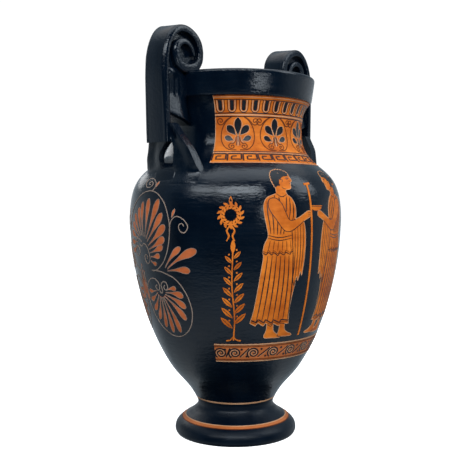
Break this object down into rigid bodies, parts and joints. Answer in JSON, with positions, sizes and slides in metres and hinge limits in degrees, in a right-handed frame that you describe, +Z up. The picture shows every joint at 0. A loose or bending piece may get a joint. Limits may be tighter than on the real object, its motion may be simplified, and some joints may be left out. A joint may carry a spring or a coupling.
{
  "type": "volute krater vase",
  "caption": "Tall fired-clay mixing vase with a collar lip, a waisted neck, a tapering belly on a torus foot and two strap handles that roll into volutes on the lip.",
  "frame": {"origin": "on the table, at the middle of the foot", "axes": "+Z up along the axis of the vase; the two handles stand at +X and -X; the painted front faces -Y"},
  "size_m": [0.1656, 0.1608, 0.301],
  "materials": {
    "black_glaze": "satin black slip glaze, brushed by hand"
  },
  "bodies": {
    "root": {"foot": "black_glaze", "belly": "black_glaze", "shoulder": "black_glaze", "neck": "black_glaze", "lip": "black_glaze", "left_strap": "black_glaze", "left_front_flange": "black_glaze", "left_rear_flange": "black_glaze", "left_stirrup": "black_glaze", "left_bridge": "black_glaze", "right_strap": "black_glaze", "right_front_flange": "black_glaze", "right_rear_flange": "black_glaze", "right_stirrup": "black_glaze", "right_bridge": "black_glaze"}
  },
  "joints": []
}
